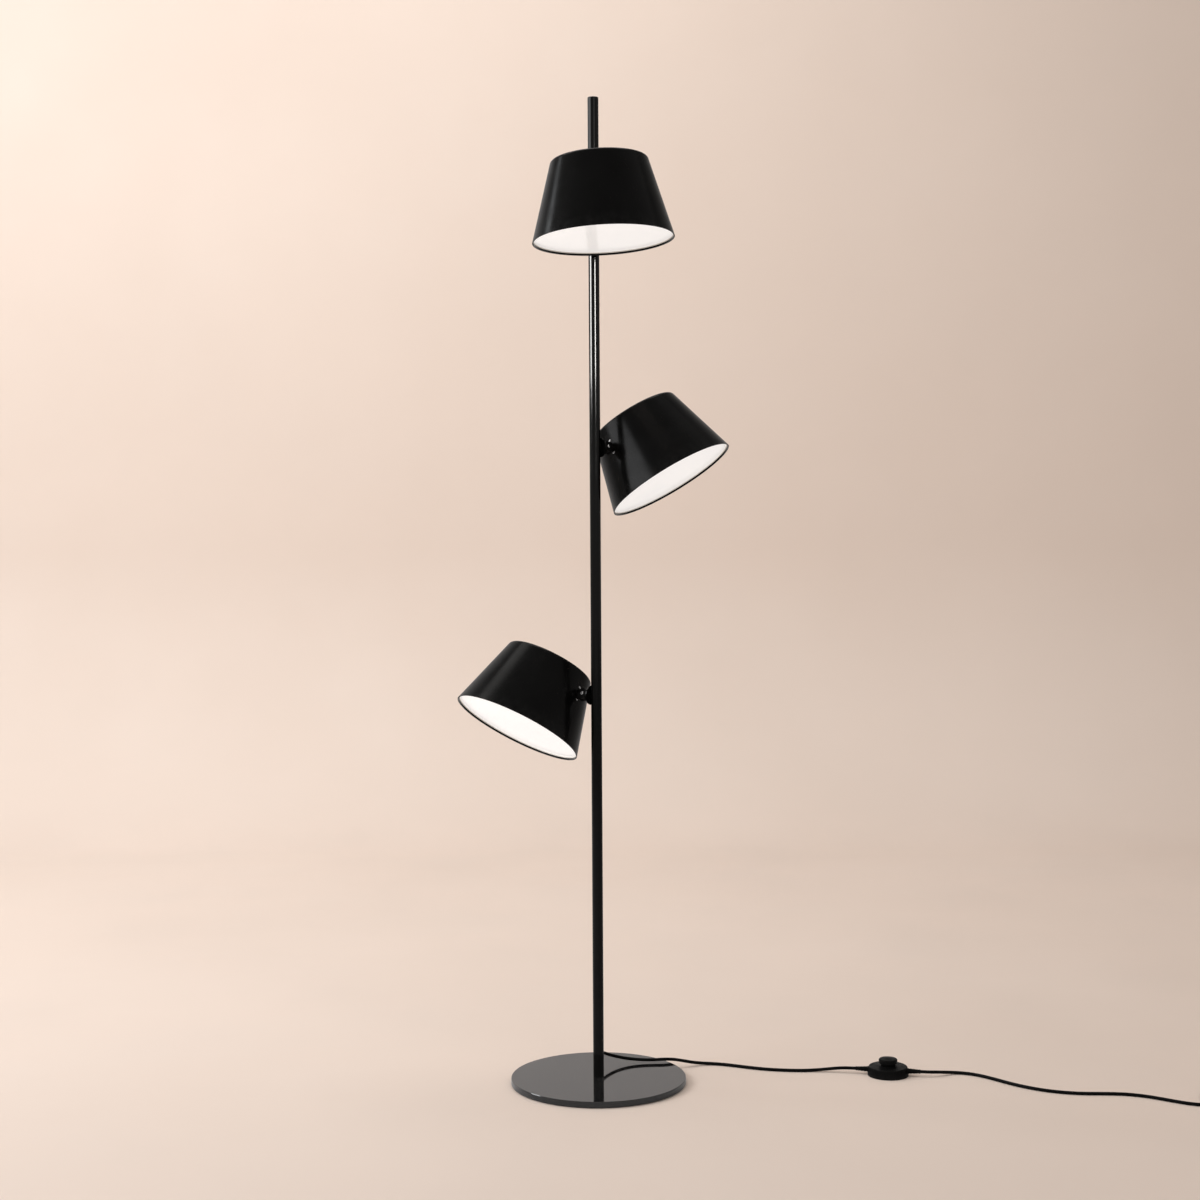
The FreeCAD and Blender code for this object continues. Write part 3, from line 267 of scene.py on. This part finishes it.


# %% [markdown]
# ## What each part is finished in
# The base and pole are stoved gloss black over steel. The shades are spun from sheet
# and sprayed satin black outside and matt white inside, which throws the light down.
# Bolts, nuts and rivets are zinc plated. The switch, plug and grips are moulded black
# plastic; the lead is softer and a little duller. The diffusers are opal acrylic, smooth
# and glossy outside, with a painted glow that makes them bright though the lamps are off.

# %% Finishes
RECIPES = {
    "black_lacquer": dict(
        dark=(0.002, 0.002, 0.002), light=(0.004, 0.004, 0.004), rough=0.09, blotch=9,
        grain=40, depth=0.000002, shine=0.2),
    "base_lacquer": dict(
        dark=(0.004, 0.004, 0.005), light=(0.008, 0.008, 0.008), rough=0.07, blotch=9,
        grain=30, depth=0.000004, wear=(0.03, 0.03, 0.03), coat=0.9),
    "black_shade": dict(
        dark=(0.002, 0.002, 0.002), light=(0.004, 0.004, 0.004), rough=0.21, blotch=14,
        grain=420, depth=0.000008, wear=(0.02, 0.02, 0.02), shine=0.08),
    "white_inside": dict(
        dark=(0.72, 0.70, 0.66), light=(0.80, 0.78, 0.74), rough=0.55, blotch=20,
        grain=700, depth=0.00002),
    "zinc_steel": dict(
        dark=(0.42, 0.42, 0.43), light=(0.58, 0.57, 0.55), rough=0.34, blotch=120,
        grain=900, depth=0.00001, metal=1.0, wear=(0.8, 0.8, 0.8)),
    "bright_pin": dict(
        dark=(0.55, 0.55, 0.56), light=(0.68, 0.68, 0.68), rough=0.22, blotch=90,
        grain=1200, depth=0.00001, metal=1.0, stretch=(1, 1, 0.2)),
    "foam_pad": dict(
        dark=(0.012, 0.012, 0.012), light=(0.03, 0.03, 0.03), rough=0.9, blotch=30,
        grain=900, depth=0.0002, cells=True),
    "black_flex": dict(
        dark=(0.002, 0.002, 0.002), light=(0.005, 0.005, 0.005), rough=0.4, blotch=60,
        grain=1600, depth=0.00001, shine=0.06),
    "black_plastic": dict(
        dark=(0.002, 0.002, 0.002), light=(0.005, 0.005, 0.005), rough=0.33, blotch=40,
        grain=2200, depth=0.00001, wear=(0.02, 0.02, 0.02), shine=0.06),
    "friction_plastic": dict(
        dark=(0.05, 0.05, 0.05), light=(0.08, 0.08, 0.08), rough=0.5, blotch=80,
        grain=1500, depth=0.00001),
    # the diffuser's brightness is a painted glow, not light from the lamps
    "opal_diffuser": dict(
        dark=(0.81, 0.82, 0.83), light=(0.87, 0.88, 0.88), rough=0.14, blotch=7,
        grain=240, depth=0.000008, painted_glow=0.56),
    "heat_plate": dict(
        dark=(0.55, 0.56, 0.57), light=(0.66, 0.66, 0.66), rough=0.38, blotch=25,
        grain=700, depth=0.00001, metal=1.0, stretch=(1, 6, 1)),
    "led_board": dict(
        dark=(0.70, 0.70, 0.68), light=(0.80, 0.80, 0.78), rough=0.45, blotch=60,
        grain=500, depth=0.00001),
    "paper": dict(
        dark=(0.745, 0.635, 0.56), light=(0.775, 0.665, 0.59), rough=0.8, blotch=1.2,
        grain=260, depth=0.00004),
}
PARTS_OF_FINISH = {
    "base_lacquer": ("base_plate",),
    "black_lacquer": ("pole_lower", "pole_upper", "pole_cap", "rosette"),
    "black_shade": ("shade", "hinge_tongue", "knuckle"),
    "zinc_steel": ("base_bolt", "base_washer", "pole_spigot", "pole_joiner", "stem_nut",
                   "saddle_washers", "switch_screws", "flex_clips", "plug_prongs"),
    "bright_pin": ("hinge_pin", "flange_rivets"),
    "foam_pad": ("floor_pad",),
    "black_flex": ("inner_flex",),
    "black_plastic": ("lead_grip", "switch_base", "switch_cover", "switch_reliefs",
                      "switch_module", "switch_button", "plug_body"),
    "friction_plastic": ("friction_washer",),
    "opal_diffuser": ("diffuser",),
    "heat_plate": ("heat_plate",),
    "led_board": ("led_board",),
}
# neighbouring faces that meet at less than this are one smooth surface
SMOOTH_BELOW = 28
finishes = {name: surface(name, **recipe) for name, recipe in RECIPES.items()}


def finish_of(node):
    for finish, starts in PARTS_OF_FINISH.items():
        if node.startswith(starts):
            return finish


def dress(piece, finish):
    piece.data.materials.clear()
    piece.data.materials.append(finishes[finish])


for name, node in nodes.items():
    finish = finish_of(name)
    if finish:
        dress(node, finish)
        if not node.data.has_custom_normals:
            node.data.shade_smooth()
            node.data.set_sharp_from_angle(angle=math.radians(SMOOTH_BELOW))
for lead in (lead_in, lead_out):
    dress(lead, "black_flex")
print("dressed", sum(1 for name in nodes if finish_of(name)), "of", len(nodes), "nodes")

# %% [markdown]
# ## Shades
# Each shade is one spun shell. Its hinge stands on a saddle on the pole, so its place
# follows from the height on the pole, the direction, the swivel and the tilt. The same
# chain of turns that the CAD uses gives each shade's own axis, and with it the faces
# that look inwards and are sprayed white.

# %% Shade insides
# height up the pole, direction round it, swivel and tilt
HEADS = {
    "top": (1397, -84.7, 2.4, 5.1),
    "middle": (1015, 41, -29, 14.5),
    "lower": (623, 144, 31.5, 9.8),
}
PIVOT_REACH = 26
SHADE_OFFSET = 94.5
HINGE_HEIGHT = 84
# the diffuser closes the shade this far inside its rim, and below it the wall is black
DIFFUSER_FACE = 5
# the crown's underside lies above this, and its faces look down
CROWN_FROM = 97.6
LOOKS_INWARD = -0.2
LOOKS_DOWN = -0.5


def rim_frame(head):
    height, direction, swivel, tilt = HEADS[head]
    return (shifted(0, 0, height) @ turned(direction, "Z") @ turned(swivel, "X")
            @ shifted(PIVOT_REACH, 0, 0) @ turned(-tilt, "Y")
            @ shifted(SHADE_OFFSET, 0, -HINGE_HEIGHT) @ turned(180, "Z"))


for head in HEADS:
    mesh = nodes["shade_" + head].data
    mesh.materials.append(finishes["white_inside"])
    back = rim_frame(head).inverted()
    turn = back.to_3x3()
    white = 0
    for face in mesh.polygons:
        centre = back @ face.center
        facing = turn @ face.normal
        outward = Vector((centre.x, centre.y, 0))
        inward = outward.length > 0 and facing.dot(outward.normalized()) < LOOKS_INWARD
        under_crown = facing.z < LOOKS_DOWN and centre.z > CROWN_FROM * MM
        if (inward and centre.z > DIFFUSER_FACE * MM) or under_crown:
            face.material_index = 1
            white += 1
    print("shade_" + head, "white faces", white, "of", len(mesh.polygons))

# %% [markdown]
# ## Bend reliefs at the switch
# The lead would crack where it enters the hard switch if it could bend sharply there.
# A soft tapered sleeve spreads the bend, and rings cut in it let it flex, thick at the
# wall and thin at the tip. The sleeve is turned about the lead's own line.

# %% Ribbed reliefs
RELIEF_ROOT = 4.5
RELIEF_TIP = 3.2
RELIEF_LENGTH = 20
RELIEF_DEPTH = 2
RELIEF_SEAT = 32.231
RINGS = 7
FIRST_RING = 1.6
RING_STEP = 2.4
RING_DEPTH = 0.55
# how far along one ring its groove starts, reaches its floor, leaves it and ends
GROOVE = ((0, 0), (0.25, RING_DEPTH), (0.95, RING_DEPTH), (1.2, 0))
TIP_EDGE = 0.4
SWITCH_PLACE = shifted(469, 33, 8) @ turned(-12, "Z")
SEGMENTS = 48
LATHE_SMOOTH_BELOW = 35


def lathe(name, profile, place):
    """Turns (radius, height) pairs in millimetres about Z, then puts them in place."""
    vertices = []
    faces = []
    count = len(profile)
    for step in range(SEGMENTS):
        angle = 2 * math.pi * step / SEGMENTS
        for radius, height in profile:
            point = Vector((radius * math.cos(angle), radius * math.sin(angle), height))
            vertices.append(place @ (point * MM))
        here = step * count
        onward = (step + 1) % SEGMENTS * count
        for index in range(count - 1):
            faces.append((here + index, onward + index,
                          onward + index + 1, here + index + 1))
    mesh = bpy.data.meshes.new(name)
    mesh.from_pydata(vertices, [], faces)
    mesh.validate()
    mesh.shade_smooth()
    mesh.set_sharp_from_angle(angle=math.radians(LATHE_SMOOTH_BELOW))
    piece = bpy.data.objects.new(name, mesh)
    scene.collection.objects.link(piece)
    return piece


def relief_profile():
    profile = [(LEAD_DIAMETER / 2, -RELIEF_DEPTH), (RELIEF_ROOT, -RELIEF_DEPTH),
               (RELIEF_ROOT, 0)]
    slope = (RELIEF_ROOT - RELIEF_TIP) / RELIEF_LENGTH
    for ring in range(RINGS):
        start = FIRST_RING + ring * RING_STEP
        for along, sunk in GROOVE:
            profile.append((RELIEF_ROOT - slope * (start + along) - sunk, start + along))
    profile += [(RELIEF_TIP, RELIEF_LENGTH - TIP_EDGE),
                (RELIEF_TIP - TIP_EDGE, RELIEF_LENGTH), (LEAD_DIAMETER / 2, RELIEF_LENGTH)]
    return profile


for word, turn in (("in", 180), ("out", 0)):
    place = SWITCH_PLACE @ turned(turn, "Z") @ shifted(RELIEF_SEAT, 0, 0) @ turned(90, "Y")
    relief = lathe("switch_relief_" + word, relief_profile(), place)
    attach(relief, "stand")
    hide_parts("switch_reliefs")
    dress(relief, "black_plastic")
print("two ribbed reliefs")

# %% [markdown]
# ## Studio
# The lamp stands on a pale paper sweep that curves up into the backdrop, so there is
# no hard line behind it. Soft boxes light it from the left, from above and a little
# from the right, and one lifts the left of the backdrop. Two strips make the two thin
# bright lines down the gloss pole: one far to the left, one right of the camera.


# %% Paper sweep
def sweep(half_width, front, back, cove, top, steps=24):
    """A floor that turns up through a quarter circle of radius cove into a wall."""
    profile = [(front, 0), (back - cove, 0)]
    for step in range(1, steps + 1):
        angle = math.pi / 2 * step / steps
        profile.append((back - cove + cove * math.sin(angle),
                        cove - cove * math.cos(angle)))
    profile.append((back, top))
    vertices = [(side * half_width, along, height)
                for along, height in profile for side in (-1, 1)]
    faces = [(2 * row, 2 * row + 1, 2 * row + 3, 2 * row + 2)
             for row in range(len(profile) - 1)]
    mesh = bpy.data.meshes.new("paper_sweep")
    mesh.from_pydata(vertices, [], faces)
    mesh.shade_smooth()
    piece = bpy.data.objects.new("paper_sweep", mesh)
    scene.collection.objects.link(piece)
    return piece


def paint_reflections_grey(material, painted_reflection_grey):
    """Painted reflections: seen in gloss, the paper shows a darker neutral grey, and it is
    open from behind.
    """
    tree = material.node_tree
    link = tree.links.new
    shader = tree.nodes["Principled BSDF"]
    path = tree.nodes.new("ShaderNodeLightPath")
    colour = mix_colours(tree, path.outputs["Is Glossy Ray"],
                         shader.inputs["Base Color"].links[0].from_socket, painted_reflection_grey)
    link(colour, shader.inputs["Base Color"])
    back = tree.nodes.new("ShaderNodeNewGeometry")
    clear = tree.nodes.new("ShaderNodeBsdfTransparent")
    either = tree.nodes.new("ShaderNodeMixShader")
    link(back.outputs["Backfacing"], either.inputs[0])
    link(shader.outputs["BSDF"], either.inputs[1])
    link(clear.outputs["BSDF"], either.inputs[2])
    link(either.outputs["Shader"], tree.nodes["Material Output"].inputs["Surface"])


# painted reflection: the paper shows this darker grey only where it is seen in gloss
paint_reflections_grey(finishes["paper"], (0.42, 0.42, 0.425))
paper = sweep(half_width=9, front=-7, back=2.9, cove=0.8, top=7)
dress(paper, "paper")

# %% Lights
COOL = (0.98, 0.985, 1.0)
COLDER = (0.95, 0.98, 1.0)
WARM = (1.0, 0.97, 0.94)
AIR = (1.0, 0.965, 0.93)
AIR_STRENGTH = 0.46
# place, the point it looks at, width, height, power and colour
SOFT_BOXES = {
    "left_box": ((-2.5, -0.75, 1.85), (0, 0, 1.0), 2.0, 1.3, 42, COOL),
    "right_box": ((1.35, -3.3, 1.95), (0, 0, 1.1), 1.1, 1.3, 7, WARM),
    "top_box": ((-0.6, 1.2, 3.6), (-0.6, 2.2, 0), 3.2, 2.0, 43, WARM),
    "wall_box": ((-3.2, 1.0, 2.4), (-1.7, 2.9, 1.1), 1.5, 1.5, 36, COLDER),
}
STRIPS = {
    "left_strip": ((-2.4, -0.65, 1.52), (0, 0, 1.52), 1.2, 0.5, 88, WARM),
    "right_strip": ((1.3, -3.2, 1.6), (0, 0, 1.6), 1.0, 0.5, 127, WARM),
}


def soft_box(name, place, aim, width, height, power, colour):
    data = bpy.data.lights.new(name, "AREA")
    data.shape = "RECTANGLE"
    data.size = width
    data.size_y = height
    data.energy = power
    data.color = colour
    box = bpy.data.objects.new(name, data)
    box.location = place
    box.rotation_euler = (Vector(aim) - Vector(place)).to_track_quat("-Z", "Y").to_euler()
    scene.collection.objects.link(box)
    return box


for name, facts in SOFT_BOXES.items():
    soft_box(name, *facts)

# the strips reach only the pole, as flags on their stands would keep them off the rest
pole_only = bpy.data.collections.new("pole_only")
for name in ("pole_upper", "pole_lower"):
    pole_only.objects.link(nodes[name])
for name, facts in STRIPS.items():
    strip = soft_box(name, *facts)
    strip.visible_diffuse = False
    strip.light_linking.receiver_collection = pole_only

world = bpy.data.worlds.new("studio_air")
world.use_nodes = True
air = world.node_tree.nodes["Background"]
air.inputs["Color"].default_value = (*AIR, 1)
air.inputs["Strength"].default_value = AIR_STRENGTH
scene.world = world
scene.view_settings.view_transform = "Standard"
print("studio with", len(SOFT_BOXES), "soft boxes and", len(STRIPS), "strips")
